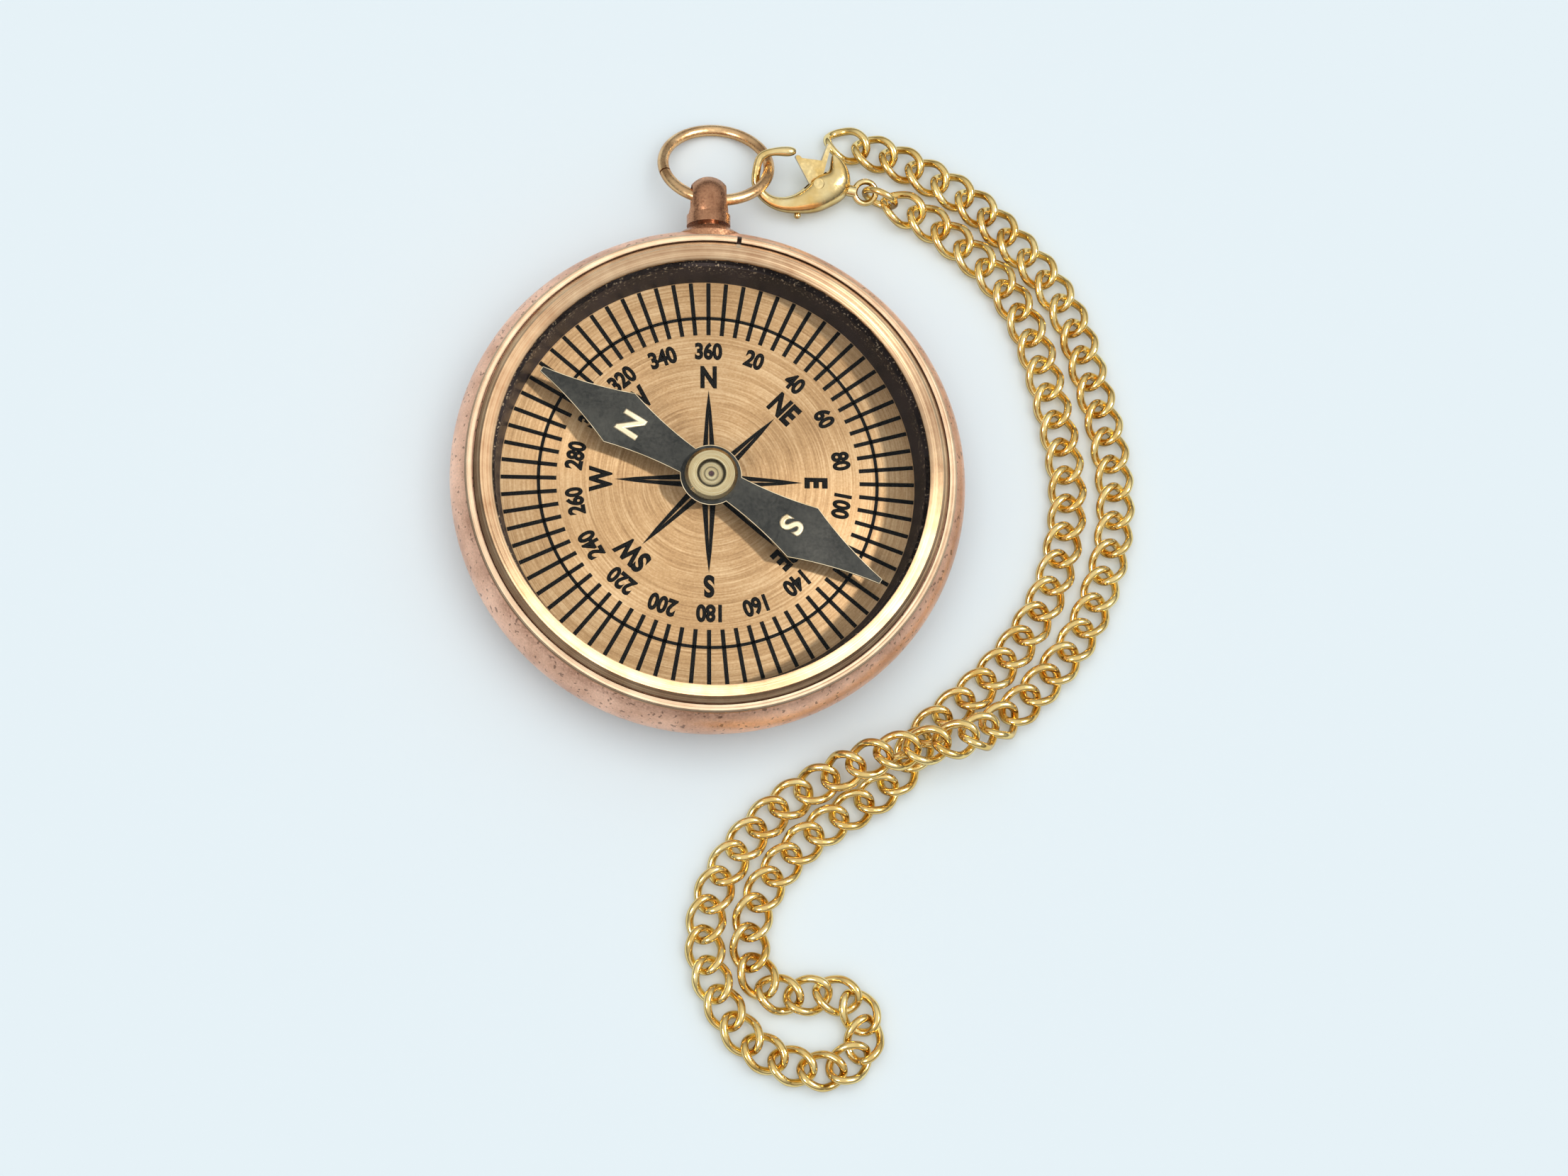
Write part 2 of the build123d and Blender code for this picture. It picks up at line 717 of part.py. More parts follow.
def main():
    os.makedirs("parts", exist_ok=True)
    for make in (
        case_pan, rim_ring, bezel_ring, crystal, flange_ring, dial_plate, dial_spacer,
        pivot_bush, pivot_pin, needle_cap, needle_blade, needle_jewel,
        pendant_saddle, pendant_stud, pendant_knob, bow_ring,
        clasp_body, clasp_gate, clasp_rivet, clasp_spring, jump_ring,
    ):
        write(make.__name__, make())
    contacts = chain_contacts()
    for run_name, node_count, (links, end) in zip(run_names, run_node_counts, chain_runs(contacts)):
        print("run", run_name, "links", len(links), "ends at", contacts[end])
        for n in range(node_count):
            first = len(links) * n // node_count
            last = len(links) * (n + 1) // node_count
            write(f"chain_{run_name}_{n + 1}", Compound(links[first:last]))
    print("bow pivot", bow_plane.origin, "grip", bow_grip, "eye", eye_world)
    print("gate pivot", (clasp_place * Location(gate_pivot)).position, "clasp", clasp_place)


if __name__ == "__main__":
    main()
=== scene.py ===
import math
import bmesh
import bpy
from mathutils import Matrix, Vector


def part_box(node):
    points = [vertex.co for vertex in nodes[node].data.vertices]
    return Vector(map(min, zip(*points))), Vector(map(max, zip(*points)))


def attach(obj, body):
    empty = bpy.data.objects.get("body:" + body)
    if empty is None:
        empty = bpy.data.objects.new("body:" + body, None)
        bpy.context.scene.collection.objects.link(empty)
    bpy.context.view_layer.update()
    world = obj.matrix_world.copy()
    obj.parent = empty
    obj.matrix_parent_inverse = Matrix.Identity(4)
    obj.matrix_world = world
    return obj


# Looks of an open-face pocket compass with bow, clasp and curb chain. Metres, in the CAD frame.
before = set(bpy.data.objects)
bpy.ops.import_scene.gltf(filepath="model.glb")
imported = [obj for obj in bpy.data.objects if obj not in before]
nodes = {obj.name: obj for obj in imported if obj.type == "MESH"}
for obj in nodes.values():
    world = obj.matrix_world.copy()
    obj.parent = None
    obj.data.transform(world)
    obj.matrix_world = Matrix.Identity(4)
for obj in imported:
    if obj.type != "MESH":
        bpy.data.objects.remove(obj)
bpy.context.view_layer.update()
MM = 0.001
full_turn = 2 * math.pi

# Range that most of a noise's values lie in, and of the turned lines
noise_low = 0.3
noise_high = 0.7
lines_low = 0.25
lines_high = 0.75

# Depths of the fine relief on the surfaces
turned_depth = 0.006 * MM
copper_depth = 0.01 * MM
plating_depth = 0.03 * MM
speck_depth = 0.02 * MM
paint_depth = 0.008 * MM
steel_depth = 0.006 * MM

# A darkened spot in the rim ring's gap beside the pendant, and the height over which the flange's specks
# thicken
rim_gap_place = (2.68 * MM, 23.5 * MM)
dark_spot_radius = 0.6 * MM
dark_spot_fade_radius = 0.75 * MM
dark_spot_colour = (0.01, 0.006, 0.005)
speck_low_height = 7.3 * MM
speck_high_height = 8.7 * MM

# Painted highlights and shade across the turned rings, by distance from the middle: (millimetres, grey)
rim_shading_bands = ((23.2, 0.3), (23.4, 1.0), (23.75, 1.0), (23.95, 0.8), (24.1, 0.6))
bezel_shading_bands = (
    (21.3, 0.2), (21.45, 0.7), (21.8, 1.0), (22.3, 0.92),
    (22.55, 1.0), (22.7, 0.6), (22.9, 1.0), (23.2, 0.35),
)
cap_shading_bands = (
    (0.0, 0.03), (0.22, 0.05), (0.36, 0.9), (0.55, 0.8), (0.66, 0.25), (0.8, 0.9), (1.05, 0.7),
    (1.22, 0.06), (1.38, 0.08), (1.5, 1.0), (1.7, 0.95), (2.3, 0.85), (2.6, 0.55),
)

# Painted fans of light and shade on the dial's brushing, by compass bearing: (degrees, grey)
dial_painted_fans = (
    (0, 0.86), (25, 0.94), (60, 0.8), (105, 1.0), (150, 0.82), (200, 1.0),
    (235, 0.97), (262, 0.86), (282, 1.0), (320, 0.82), (360, 0.86),
)

# Printing on the dial
print_gap = 0.02 * MM
tick_count = 72
tick_inner_radius = 15.0 * MM
tick_outer_radius = 20.45 * MM
tick_width = 0.41 * MM
ring_radius = 16.75 * MM
ring_width = 0.33 * MM
ring_steps = 180
number_count = 18
number_height = 1.8 * MM
number_radius = 13.35 * MM
number_narrow_share = 0.82
point_names = ("N", "NE", "E", "SE", "S", "SW", "W", "NW")
point_height = 2.3 * MM
point_radius = 10.65 * MM
point_narrow_share = 0.76
spike_base_radius = 2.2 * MM
spike_tip_radius = 9.3 * MM
spike_width = 1.35 * MM
spike_stroke_share = 0.42
spike_meet_share = 0.7
spike_meet_width_share = 0.4
spike_notch_share = 0.08

# Letters: how much bolder the strokes are than the plain font, and how flat the mesh is pressed
bold_share = 0.047
flat_share = 0.05

# Letters and painted highlight along the edge of the needle, whose north end points along this bearing
needle_bearing = 302
needle_letter_height = 2.5 * MM
needle_letter_radius = 9.3 * MM
needle_letter_gap = 0.015 * MM
needle_highlight_radius = 0.035 * MM

# Limits used to find the top outline of a flat node
weld_distance = 1e-7
level_tolerance = 1e-6
flat_normal = 0.9

# Floor, which lies a hair below the object
floor_half_width = 3.0
floor_drop = 0.02 * MM
floor_colour = (0.80, 0.885, 0.92, 1.0)

# Lights: places in metres, powers in watts, the rim lights' by compass bearing
middle = (0, 0, 0)
right_of_middle = (0.01, 0, 0)
key_place = (0.41, -0.02, 0.50)
key_size = 0.04
key_power = 7.0
key_colour = (1.0, 0.96, 0.90)
table_light_place = (0, 0, 1.2)
table_light_size = 1.2
table_light_power = 6.8
table_light_colour = (0.97, 0.99, 1.0)
fill_place = (-0.40, -0.30, 0.52)
fill_size = 0.16
fill_power = 2.4
fill_colour = (1.0, 0.98, 0.95)
rim_light_reach = 0.5
rim_light_height = 0.42
rim_light_size = 0.45
rim_light_colour = (1.0, 0.94, 0.84)
rim_light_powers = {330: 1.9, 22: 1.9, 80: 0.35}
dome_strength = 0.85
dome_low_place = 0.1
dome_low_colour = (0.14, 0.14, 0.15, 1.0)
dome_high_place = 0.8
dome_high_colour = (0.95, 0.96, 0.97, 1.0)

# Camera fitted to the photograph, with its focal length in the photograph's pixels
camera_place = Vector((-25.428, -76.3025, 295.85)) * MM
camera_target = Vector((7.452, -10.5425, 5.0)) * MM
camera_roll = -0.0073
focal_pixels = 4305.58
photo_width_pixels = 2212
sensor_width = 36.0
clip_near = 0.01
clip_far = 20.0


# Node helpers

class Shader:
    """A new material with its Principled shader and short ways to add nodes to it."""

    def __init__(self, name):
        self.material = bpy.data.materials.new(name)
        self.material.use_nodes = True
        self.tree = self.material.node_tree
        self.principled = self.tree.nodes["Principled BSDF"]

    def add(self, kind, **settings):
        node = self.tree.nodes.new(kind)
        for key, value in settings.items():
            setattr(node, key, value)
        return node

    def feed(self, value, socket):
        """Sets a socket to a number, or links another node's output to it."""
        if isinstance(value, bpy.types.NodeSocket):
            self.tree.links.new(value, socket)
        else:
            socket.default_value = value

    def set(self, **values):
        """Feeds the shader's own sockets, named with underscores for spaces."""
        for key, value in values.items():
            self.feed(value, self.principled.inputs[key.replace("_", " ")])

    def place(self):
        return self.add("ShaderNodeTexCoord").outputs["Object"]

    def split(self, vector):
        """The X, Y and Z of a vector."""
        node = self.add("ShaderNodeSeparateXYZ")
        self.feed(vector, node.inputs[0])
        return node.outputs

    def calc(self, operation, first, second=0.0):
        node = self.add("ShaderNodeMath", operation=operation)
        self.feed(first, node.inputs[0])
        self.feed(second, node.inputs[1])
        return node.outputs[0]

    def blend(self, *parts):
        """The sum of several values, each given with its share."""
        weighted = [self.calc("MULTIPLY", value, share) for value, share in parts]
        total = weighted[0]
        for value in weighted[1:]:
            total = self.calc("ADD", total, value)
        return total

    def noise(self, where, scale, detail=2.0, rough=0.5):
        node = self.add("ShaderNodeTexNoise")
        self.feed(where, node.inputs["Vector"])
        node.inputs["Scale"].default_value = scale
        node.inputs["Detail"].default_value = detail
        node.inputs["Roughness"].default_value = rough
        return node.outputs["Fac"]

    def spread(self, value, low, high, start=noise_low, end=noise_high):
        """The value from start to end, carried over to low to high."""
        node = self.add("ShaderNodeMapRange")
        self.feed(value, node.inputs["Value"])
        for key, number in (("From Min", start), ("From Max", end), ("To Min", low), ("To Max", high)):
            node.inputs[key].default_value = number
        return node.outputs["Result"]

    def ramp(self, value, *stops):
        """A colour from stops of (place, colour)."""
        node = self.add("ShaderNodeValToRGB")
        self.feed(value, node.inputs["Fac"])
        elements = node.color_ramp.elements
        while len(elements) < len(stops):
            elements.new(0.5)
        for element, (place, colour) in zip(elements, stops):
            element.position = place
            element.color = (*colour, 1.0)
        return node.outputs["Color"]

    def mix(self, share, first, second, blend_type="MIX"):
        node = self.add("ShaderNodeMix", data_type="RGBA", blend_type=blend_type)
        self.feed(share, node.inputs["Factor"])
        colour_sockets = [socket for socket in node.inputs if socket.type == "RGBA"]
        for value, socket in zip((first, second), colour_sockets):
            self.feed(value if isinstance(value, bpy.types.NodeSocket) else (*value, 1.0), socket)
        return [socket for socket in node.outputs if socket.type == "RGBA"][0]

    def shade(self, colour, tone):
        """The colour, darkened by a tone."""
        return self.mix(1.0, colour, tone, "MULTIPLY")

    def bump(self, height, strength, distance):
        node = self.add("ShaderNodeBump")
        self.feed(height, node.inputs["Height"])
        node.inputs["Strength"].default_value = strength
        node.inputs["Distance"].default_value = distance
        self.feed(node.outputs["Normal"], self.principled.inputs["Normal"])

    def flat_distance(self, where, spot):
        """Distance from a spot given by x and y, whatever the height."""
        level = self.add("ShaderNodeVectorMath", operation="MULTIPLY")
        self.feed(where, level.inputs[0])
        level.inputs[1].default_value = (1.0, 1.0, 0.0)
        away = self.add("ShaderNodeVectorMath", operation="DISTANCE")
        self.feed(level.outputs["Vector"], away.inputs[0])
        away.inputs[1].default_value = (*spot, 0.0)
        return away.outputs["Value"]

    def polar(self, where):
        """Distance from the Z axis, and the cosine and sine of the angle about it."""
        parts = self.split(where)
        x, y = parts["X"], parts["Y"]
        squares = self.calc("ADD", self.calc("MULTIPLY", x, x), self.calc("MULTIPLY", y, y))
        radius = self.calc("SQRT", squares)
        return radius, self.calc("DIVIDE", x, radius), self.calc("DIVIDE", y, radius)

    def turned_lines(self, where, per_metre, strokes):
        """Fine lines about the Z axis that change slowly along their length."""
        radius, cosine, sine = self.polar(where)
        joined = self.add("ShaderNodeCombineXYZ")
        self.feed(self.calc("MULTIPLY", radius, per_metre), joined.inputs["X"])
        self.feed(self.calc("MULTIPLY", cosine, strokes), joined.inputs["Y"])
        self.feed(self.calc("MULTIPLY", sine, strokes), joined.inputs["Z"])
        return self.noise(joined.outputs[0], scale=1.0, detail=3.0, rough=0.65)

    def bands(self, where, stops):
        """A grey that follows the distance from the Z axis, from stops of (millimetres, grey)."""
        radius = self.polar(where)[0]
        first, last = stops[0][0], stops[-1][0]
        along = self.spread(radius, 0.0, 1.0, first * MM, last * MM)
        return self.ramp(along, *[((r - first) / (last - first), (grey,) * 3) for r, grey in stops])

    def fans(self, where, stops):
        """A grey that follows the compass bearing, from stops of (degrees, grey)."""
        cosine, sine = self.polar(where)[1:]
        bearing = self.calc("FLOORED_MODULO", self.calc("ARCTAN2", cosine, sine), full_turn)
        along = self.calc("DIVIDE", bearing, full_turn)
        return self.ramp(along, *[(degrees / 360, (grey,) * 3) for degrees, grey in stops])


# Materials

def turned_metal(name, dark, light, roughness, per_metre=9000.0, bands=None):
    """Metal with fine lines left by turning, and painted shade in grooves and painted highlights on ridges
    where the bands say.
    """
    s = Shader(name)
    where = s.place()
    lines = s.turned_lines(where, per_metre, strokes=0.5)
    cloud = s.noise(where, scale=420.0, detail=5.0, rough=0.6)
    colour = s.ramp(s.blend((lines, 0.6), (cloud, 0.4)), (0.34, dark), (0.64, light))
    # Painted highlights and shade: the colour is brightened and darkened ring by ring as the bands say
    if bands:
        colour = s.shade(colour, s.bands(where, bands))
    s.set(Metallic=1.0, Base_Color=colour)
    s.set(Roughness=s.spread(lines, roughness - 0.08, roughness + 0.1, lines_low, lines_high))
    s.bump(lines, strength=0.6, distance=turned_depth)
    return s.material


def speckled_copper(name, dark, light, roughness, speck_start, dark_spot=None):
    """Matte copper with a soft cloudy tone, small dark specks and perhaps one darkened spot."""
    s = Shader(name)
    where = s.place()
    cloud = s.noise(where, scale=220.0, detail=6.0, rough=0.6)
    grain = s.noise(where, scale=5200.0)
    specks = s.spread(s.noise(where, scale=2100.0, detail=1.0), 0.0, 1.0, speck_start, speck_start + 0.05)
    colour = s.ramp(s.blend((cloud, 0.7), (grain, 0.3)), (0.34, dark), (0.66, light))
    if dark_spot:
        away = s.flat_distance(where, dark_spot)
        colour = s.mix(s.spread(away, 1.0, 0.0, dark_spot_radius, dark_spot_fade_radius), colour, dark_spot_colour)
    colour = s.mix(s.calc("MULTIPLY", specks, 0.6), colour, (0.05, 0.025, 0.018))
    s.set(Metallic=0.85, Base_Color=colour)
    s.set(Roughness=s.spread(grain, roughness - 0.08, roughness + 0.12))
    s.bump(s.calc("SUBTRACT", grain, specks), strength=0.35, distance=copper_depth)
    return s.material


def polished_gold(name, dark, light, roughness, flank_shade):
    """Plated metal with small ripples, slightly duller patches and painted shade that darkens the flanks to a
    brown this bright.
    """
    s = Shader(name)
    where = s.place()
    patch = s.noise(where, scale=420.0, detail=3.0)
    fine = s.noise(where, scale=3400.0)
    # Painted shade: where the surface faces sideways rather than up or down, the colour is darkened towards
    # the flank brown
    facing = s.split(s.add("ShaderNodeTexCoord").outputs["Normal"])
    level = s.calc("ADD", s.calc("ABSOLUTE", facing["Z"]), s.calc("MULTIPLY", patch, 0.2))
    tone = s.ramp(level, (0.2, (flank_shade, flank_shade * 0.8, flank_shade * 0.45)), (0.62, (1.0, 1.0, 1.0)))
    s.set(Metallic=1.0, Base_Color=s.shade(s.ramp(patch, (0.3, dark), (0.68, light)), tone))
    s.set(Roughness=s.spread(fine, roughness - 0.05, roughness + 0.09))
    s.bump(s.blend((patch, 0.7), (fine, 0.3)), strength=0.3, distance=plating_depth)
    return s.material


def dial_brass():
    """Brass with circular brushing that spreads the light in fans, with painted fans of light and shade in
    its colour by bearing.
    """
    s = Shader("dial_brass")
    where = s.place()
    lines = s.turned_lines(where, per_metre=5200.0, strokes=1.1)
    broad = s.turned_lines(where, per_metre=900.0, strokes=1.6)
    cloud = s.noise(where, scale=130.0, detail=6.0, rough=0.62)
    grain = s.noise(where, scale=4600.0, detail=3.0, rough=0.7)
    tone = s.blend((lines, 0.4), (broad, 0.15), (cloud, 0.225), (grain, 0.225))
    colour = s.ramp(
        tone, (0.36, (0.31, 0.17, 0.07)), (0.5, (0.53, 0.33, 0.155)), (0.64, (0.75, 0.54, 0.31))
    )
    s.set(Metallic=0.5, Anisotropic=0.5, Anisotropic_Rotation=0.25)
    # Painted highlights and shade: the colour is brightened and darkened in fans by bearing
    s.set(Base_Color=s.shade(colour, s.fans(where, dial_painted_fans)))
    s.set(Roughness=s.spread(lines, 0.34, 0.5, lines_low, lines_high))
    s.bump(lines, strength=0.5, distance=turned_depth)
    s.set(Tangent=s.add("ShaderNodeTangent", direction_type="RADIAL", axis="Z").outputs[0])
    return s.material


def flange_black():
    """Black paint with bright specks that thicken towards the crystal."""
    s = Shader("flange_black")
    where = s.place()
    high = s.spread(s.split(where)["Z"], 0.05, 1.0, speck_low_height, speck_high_height)
    dots = s.spread(s.noise(where, scale=4400.0, detail=1.0), 0.0, 1.0, 0.62, 0.68)
    cloud = s.noise(where, scale=300.0, detail=4.0)
    base = s.ramp(cloud, (noise_low, (0.010, 0.007, 0.007)), (noise_high, (0.032, 0.023, 0.022)))
    share = s.calc("MULTIPLY", dots, s.calc("MULTIPLY", high, 0.6))
    s.set(Base_Color=s.mix(share, base, (0.46, 0.36, 0.24)))
    s.set(Roughness=s.spread(cloud, 0.5, 0.7), Specular_IOR_Level=0.15)
    s.bump(dots, strength=0.4, distance=speck_depth)
    return s.material


def crystal_glass():
    """Clear glass with a faint smear."""
    s = Shader("crystal_glass")
    smear = s.noise(s.place(), scale=60.0, detail=3.0)
    s.set(Base_Color=(0.01, 0.012, 0.013, 1.0), IOR=1.5, Alpha=0.06)
    s.set(Roughness=s.spread(smear, 0.02, 0.07))
    return s.material


def needle_paint():
    """Blackened needle with a fine grain and greyer worn places."""
    s = Shader("needle_black")
    where = s.place()
    grain = s.noise(where, scale=4200.0)
    wear = s.noise(where, scale=170.0, detail=5.0, rough=0.65)
    tone = s.blend((grain, 0.45), (wear, 0.55))
    colour = s.ramp(tone, (0.36, (0.007, 0.008, 0.007)), (0.66, (0.045, 0.045, 0.038)))
    s.set(Metallic=0.1, Base_Color=colour)
    s.set(Roughness=s.spread(wear, 0.36, 0.56), Specular_IOR_Level=0.35)
    s.bump(grain, strength=0.3, distance=paint_depth)
    return s.material


def ink():
    """Dull black printing, slightly uneven."""
    s = Shader("dial_ink")
    patch = s.noise(s.place(), scale=900.0, detail=3.0)
    s.set(Base_Color=s.ramp(patch, (0.3, (0.002, 0.002, 0.002)), (0.75, (0.007, 0.007, 0.006))))
    s.set(Roughness=s.spread(patch, 0.55, 0.75), Specular_IOR_Level=0.06)
    return s.material


def steel(name, tone, roughness):
    """Grey steel with a fine grain."""
    s = Shader(name)
    grain = s.noise(s.place(), scale=3000.0, detail=3.0)
    dark = tuple(0.7 * channel for channel in tone)
    s.set(Metallic=1.0, Base_Color=s.ramp(grain, (noise_low, dark), (noise_high, tone)))
    s.set(Roughness=s.spread(grain, roughness - 0.05, roughness + 0.1))
    s.bump(grain, strength=0.25, distance=steel_depth)
    return s.material


def jewel():
    """Dark red polished stone."""
    s = Shader("jewel")
    depth = s.noise(s.place(), scale=1500.0)
    colour = s.ramp(depth, (noise_low, (0.01, 0.006, 0.006)), (noise_high, (0.06, 0.02, 0.02)))
    s.set(Base_Color=colour, Coat_Weight=0.8)
    s.set(Roughness=s.spread(depth, 0.1, 0.2))
    return s.material


def pale_gold():
    """Pale gilding of the needle's letters, also used for the painted highlight along its edge."""
    s = Shader("pale_gold")
    patch = s.noise(s.place(), scale=700.0, detail=3.0)
    colour = s.ramp(patch, (noise_low, (0.66, 0.53, 0.31)), (noise_high, (0.90, 0.80, 0.58)))
    s.set(Metallic=0.6, Base_Color=colour)
    s.set(Roughness=s.spread(patch, 0.35, 0.5))
    return s.material


case_copper = speckled_copper(
    "case_copper", (0.54, 0.29, 0.19), (0.98, 0.62, 0.45), 0.36, speck_start=0.64, dark_spot=rim_gap_place
)
pendant_copper = speckled_copper(
    "pendant_copper", (0.30, 0.13, 0.065), (0.72, 0.38, 0.21), 0.26, speck_start=0.7
)
rim_rose = turned_metal("rim_rose", (0.60, 0.37, 0.22), (0.97, 0.74, 0.51), 0.28, bands=rim_shading_bands)
bezel_rose = turned_metal("bezel_rose", (0.54, 0.29, 0.15), (1.0, 0.72, 0.44), 0.24, bands=bezel_shading_bands)
inner_brass = turned_metal("inner_brass", (0.55, 0.38, 0.17), (0.82, 0.62, 0.32), 0.34)
cap_brass = turned_metal(
    "cap_brass", (0.84, 0.60, 0.27), (1.0, 0.88, 0.54), 0.22, per_metre=12000.0, bands=cap_shading_bands
)
bow_rose = polished_gold("bow_rose", (0.58, 0.32, 0.14), (0.92, 0.62, 0.32), 0.26, flank_shade=0.5)
clasp_gold = polished_gold("clasp_gold", (0.82, 0.55, 0.18), (1.0, 0.82, 0.43), 0.15, flank_shade=0.28)
chain_gold = polished_gold("chain_gold", (0.80, 0.50, 0.13), (1.0, 0.79, 0.35), 0.15, flank_shade=0.32)
ink_black = ink()
letter_and_highlight_gold = pale_gold()

# Every node that isn't named here is part of the chain or its jump ring
node_materials = {
    "case_pan": case_copper,
    "rim_ring": rim_rose,
    "bezel_ring": bezel_rose,
    "crystal": crystal_glass(),
    "flange_ring": flange_black(),
    "dial_plate": dial_brass(),
    "dial_spacer": inner_brass,
    "pivot_bush": inner_brass,
    "pivot_pin": steel("post_steel", (0.62, 0.62, 0.64), 0.2),
    "needle_blade": needle_paint(),
    "needle_cap": cap_brass,
    "needle_jewel": jewel(),
    "pendant_saddle": pendant_copper,
    "pendant_stud": pendant_copper,
    "pendant_knob": pendant_copper,
    "bow_ring": bow_rose,
    "clasp_body": clasp_gold,
    "clasp_gate": clasp_gold,
    "clasp_rivet": clasp_gold,
    "clasp_spring": steel("spring_steel", (0.6, 0.6, 0.62), 0.3),
}
for name, node in nodes.items():
    node.data.materials.clear()
    node.data.materials.append(node_materials.get(name, chain_gold))


# Printing on the dial and the needle

def add_object(name, data):
    """A new object in the scene."""
    thing = bpy.data.objects.new(name, data)
    bpy.context.scene.collection.objects.link(thing)
    return thing


def printed_piece(name, bm, material, body):
    """Turns the drawn printing into a piece that rides on a body."""
    mesh = bpy.data.meshes.new(name)
    bm.to_mesh(mesh)
    bm.free()
    mesh.materials.append(material)
    piece = add_object(name, mesh)
    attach(piece, body)


def letter_mesh(text, height):
    """A bold word as an almost flat mesh with its middle at the origin, as tall as asked."""
    curve = bpy.data.curves.new("word", "FONT")
    curve.body = text
    curve.align_x = "CENTER"
    curve.align_y = "CENTER"
    curve.bevel_depth = bold_share
    curve.bevel_resolution = 0
    word = add_object("word", curve)
    bpy.context.view_layer.update()
    mesh = bpy.data.meshes.new_from_object(word.evaluated_get(bpy.context.evaluated_depsgraph_get()))
    bpy.data.objects.remove(word)
    low = Vector(map(min, zip(*[v.co for v in mesh.vertices])))
    high = Vector(map(max, zip(*[v.co for v in mesh.vertices])))
    scale = height / (high.y - low.y)
    pressed = Matrix.Diagonal((scale, scale, scale * flat_share, 1))
    mesh.transform(pressed @ Matrix.Translation(-(low + high) / 2))
    return mesh


def add_word(bm, text, height, place, narrow=1.0):
    mesh = letter_mesh(text, height)
    mesh.transform(place @ Matrix.Diagonal((narrow, 1, 1, 1)))
    bm.from_mesh(mesh)
    bpy.data.meshes.remove(mesh)


def on_dial(bearing, radius, height):
    """A place on the dial at a compass bearing, with its top pointing outwards."""
    turned = Matrix.Rotation(-math.radians(bearing), 4, "Z")
    return Matrix.Translation((0, 0, height)) @ turned @ Matrix.Translation((0, radius, 0))


def add_face(bm, corners):
    bm.faces.new([bm.verts.new(c) for c in corners])


def add_tick(bm, bearing, height):
    """One degree mark, as a strip from the inner to the outer radius."""
    place = on_dial(bearing, 0, height)
    half = tick_width / 2
    corners = (
        (half, tick_inner_radius), (half, tick_outer_radius),
        (-half, tick_outer_radius), (-half, tick_inner_radius),
    )
    add_face(bm, [place @ Vector((x, y, 0)) for x, y in corners])


def add_ring(bm, height):
    """The circle that crosses the degree marks, in short straight faces."""
    inner = ring_radius - ring_width / 2
    outer = ring_radius + ring_width / 2
    for n in range(ring_steps):
        start = full_turn * n / ring_steps
        end = full_turn * (n + 1) / ring_steps
        corners = ((inner, start), (outer, start), (outer, end), (inner, end))
        add_face(bm, [(r * math.cos(turn), r * math.sin(turn), height) for r, turn in corners])


def add_spike(bm, bearing, height):
    """One point of the rose: two black strokes from a wide base that meet in a tip."""
    place = on_dial(bearing, 0, height)
    length = spike_tip_radius - spike_base_radius
    half = spike_width / 2
    inner_half = half - spike_width * spike_stroke_share
    meet_radius = spike_base_radius + length * spike_meet_share
    meet_half = half * spike_meet_width_share
    notch_radius = meet_radius - length * spike_notch_share
    for side in (1, -1):
        outline = (
            (side * half, spike_base_radius), (side * meet_half, meet_radius), (0, spike_tip_radius),
            (0, notch_radius), (side * inner_half, spike_base_radius),
        )
        points = [place @ Vector((x, y, 0)) for x, y in outline]
        add_face(bm, points if side > 0 else points[::-1])


def dial_printing():
    """Degree marks, their circle, the degree numbers, the compass letters and the rose."""
    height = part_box("dial_plate")[1].z + print_gap
    bm = bmesh.new()
    for n in range(tick_count):
        add_tick(bm, n * 360 / tick_count, height)
    add_ring(bm, height)
    for n in range(number_count):
        bearing = n * 360 // number_count
        place = on_dial(bearing, number_radius, height)
        add_word(bm, str(bearing or 360), number_height, place, narrow=number_narrow_share)
    for n, text in enumerate(point_names):
        bearing = n * 360 / len(point_names)
        add_word(bm, text, point_height, on_dial(bearing, point_radius, height), narrow=point_narrow_share)
        add_spike(bm, bearing, height)
    printed_piece("dial_print", bm, ink_black, "case")


def needle_letters(top):
    """N and S on the two ends of the needle."""
    bm = bmesh.new()
    for text, bearing in (("N", needle_bearing), ("S", needle_bearing + 180)):
        place = on_dial(bearing, needle_letter_radius, top + needle_letter_gap)
        add_word(bm, text, needle_letter_height, place)
    printed_piece("needle_letters", bm, letter_and_highlight_gold, "needle")


def top_outline(name, node, height):
    """The edges of a flat node's top face, as a mesh of lines."""
    source = bmesh.new()
    source.from_mesh(nodes[node].data)
    bmesh.ops.remove_doubles(source, verts=source.verts, dist=weld_distance)
    lines = bmesh.new()
    copies = {}
    for edge in source.edges:
        on_top = all(abs(v.co.z - height) < level_tolerance for v in edge.verts)
        flat_faces = [face for face in edge.link_faces if abs(face.normal.z) > flat_normal]
        if on_top and len(flat_faces) == 1:
            for v in edge.verts:
                if v.index not in copies:
                    copies[v.index] = lines.verts.new(v.co)
            lines.edges.new([copies[v.index] for v in edge.verts])
    mesh = bpy.data.meshes.new(name)
    lines.to_mesh(mesh)
    source.free()
    lines.free()
    return mesh


def needle_edge(top):
    """A thin bead along the needle's top outline, a painted highlight where its edge catches the light."""
    line = add_object("needle_edge", top_outline("needle_edge", "needle_blade", top))
    for other in bpy.context.selected_objects:
        other.select_set(False)
    bpy.context.view_layer.objects.active = line
    line.select_set(True)
    bpy.ops.object.convert(target="CURVE")
    line = bpy.context.view_layer.objects.active
    line.data.bevel_depth = needle_highlight_radius
    line.data.bevel_resolution = 1
    line.data.materials.clear()
    line.data.materials.append(letter_and_highlight_gold)
    line.select_set(False)
    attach(line, "needle")


dial_printing()
needle_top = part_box("needle_blade")[1].z
needle_letters(needle_top)
needle_edge(needle_top)


# Floor, light and camera

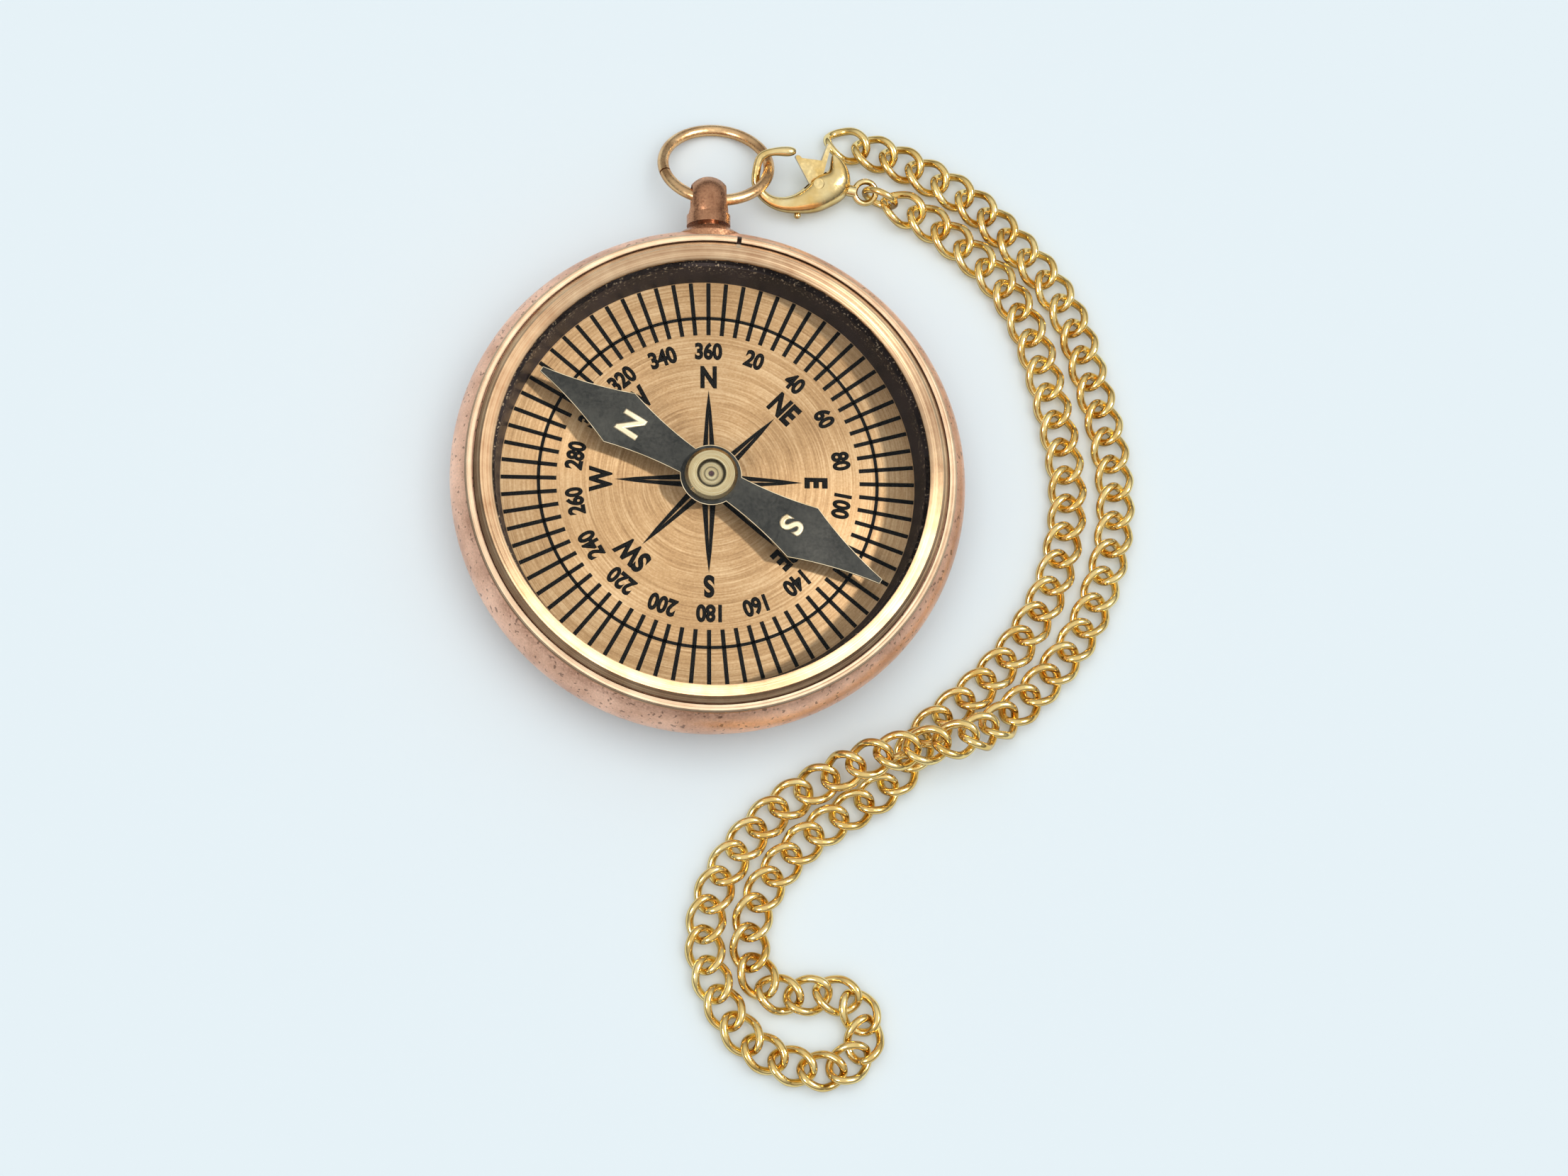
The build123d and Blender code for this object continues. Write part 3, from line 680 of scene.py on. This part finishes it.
def floor():
    """A wide pale plane."""
    s = Shader("floor")
    s.set(Base_Color=floor_colour, Roughness=0.9)
    mesh = bpy.data.meshes.new("floor")
    half = floor_half_width
    corners = ((-half, -half, 0), (half, -half, 0), (half, half, 0), (-half, half, 0))
    mesh.from_pydata(corners, [], [(0, 1, 2, 3)])
    mesh.materials.append(s.material)
    plane = add_object("floor", mesh)
    plane.location.z = -floor_drop
    return plane


def area_light(name, place, target, size, power, colour):
    data = bpy.data.lights.new(name, "AREA")
    data.size = size
    data.energy = power
    data.color = colour
    light = add_object(name, data)
    light.location = place
    light.rotation_euler = (Vector(target) - Vector(place)).to_track_quat("-Z", "Y").to_euler()
    return light


def link_light(light, pieces, state):
    """Makes a light reach these pieces only, or everything but these pieces."""
    linked = bpy.data.collections.new(light.name + "_link")
    for piece in pieces:
        linked.objects.link(piece)
    for entry in linked.collection_objects:
        entry.light_linking.link_state = state
    light.light_linking.receiver_collection = linked


def studio_lights(table):
    """A small key, a soft fill, and lights of their own for the floor and for the turned rings."""
    key = area_light("key", key_place, right_of_middle, key_size, key_power, key_colour)
    link_light(key, (table, nodes["bezel_ring"], nodes["case_pan"], nodes["pendant_knob"]), "EXCLUDE")
    table_light = area_light(
        "table_light", table_light_place, middle, table_light_size, table_light_power, table_light_colour
    )
    link_light(table_light, (table,), "INCLUDE")
    fill = area_light("fill", fill_place, right_of_middle, fill_size, fill_power, fill_colour)
    link_light(fill, (table,), "EXCLUDE")
    for bearing, power in rim_light_powers.items():
        turn = math.radians(bearing)
        place = (rim_light_reach * math.sin(turn), rim_light_reach * math.cos(turn), rim_light_height)
        rim_light = area_light(f"rim_light_{bearing}", place, middle, rim_light_size, power, rim_light_colour)
        link_light(rim_light, (nodes["bezel_ring"], nodes["rim_ring"], nodes["case_pan"]), "INCLUDE")


def studio_world():
    """A soft dome, bright overhead and dimmer towards the horizon."""
    world = bpy.data.worlds.new("studio")
    bpy.context.scene.world = world
    world.use_nodes = True
    tree = world.node_tree
    sky = tree.nodes["Background"]
    place = tree.nodes.new("ShaderNodeTexCoord")
    parts = tree.nodes.new("ShaderNodeSeparateXYZ")
    ramp = tree.nodes.new("ShaderNodeValToRGB")
    tree.links.new(place.outputs["Generated"], parts.inputs[0])
    tree.links.new(parts.outputs["Z"], ramp.inputs["Fac"])
    tree.links.new(ramp.outputs["Color"], sky.inputs["Color"])
    low, high = ramp.color_ramp.elements
    low.position = dome_low_place
    low.color = dome_low_colour
    high.position = dome_high_place
    high.color = dome_high_colour
    sky.inputs["Strength"].default_value = dome_strength


def photo_camera():
    """A camera at the photograph's viewing angle."""
    ahead = (camera_target - camera_place).normalized()
    level_right = ahead.cross(Vector((0, 1, 0))).normalized()
    level_up = level_right.cross(ahead)
    right = math.cos(camera_roll) * level_right + math.sin(camera_roll) * level_up
    up = math.cos(camera_roll) * level_up - math.sin(camera_roll) * level_right
    data = bpy.data.cameras.new("camera")
    data.sensor_width = sensor_width
    data.lens = sensor_width * focal_pixels / photo_width_pixels
    data.clip_start = clip_near
    data.clip_end = clip_far
    camera = add_object("camera", data)
    rotation = Matrix((right, up, -ahead)).transposed()
    camera.matrix_world = Matrix.Translation(camera_place) @ rotation.to_4x4()
    bpy.context.scene.camera = camera


studio_world()
studio_lights(floor())
photo_camera()
bpy.context.scene.view_settings.view_transform = "Standard"
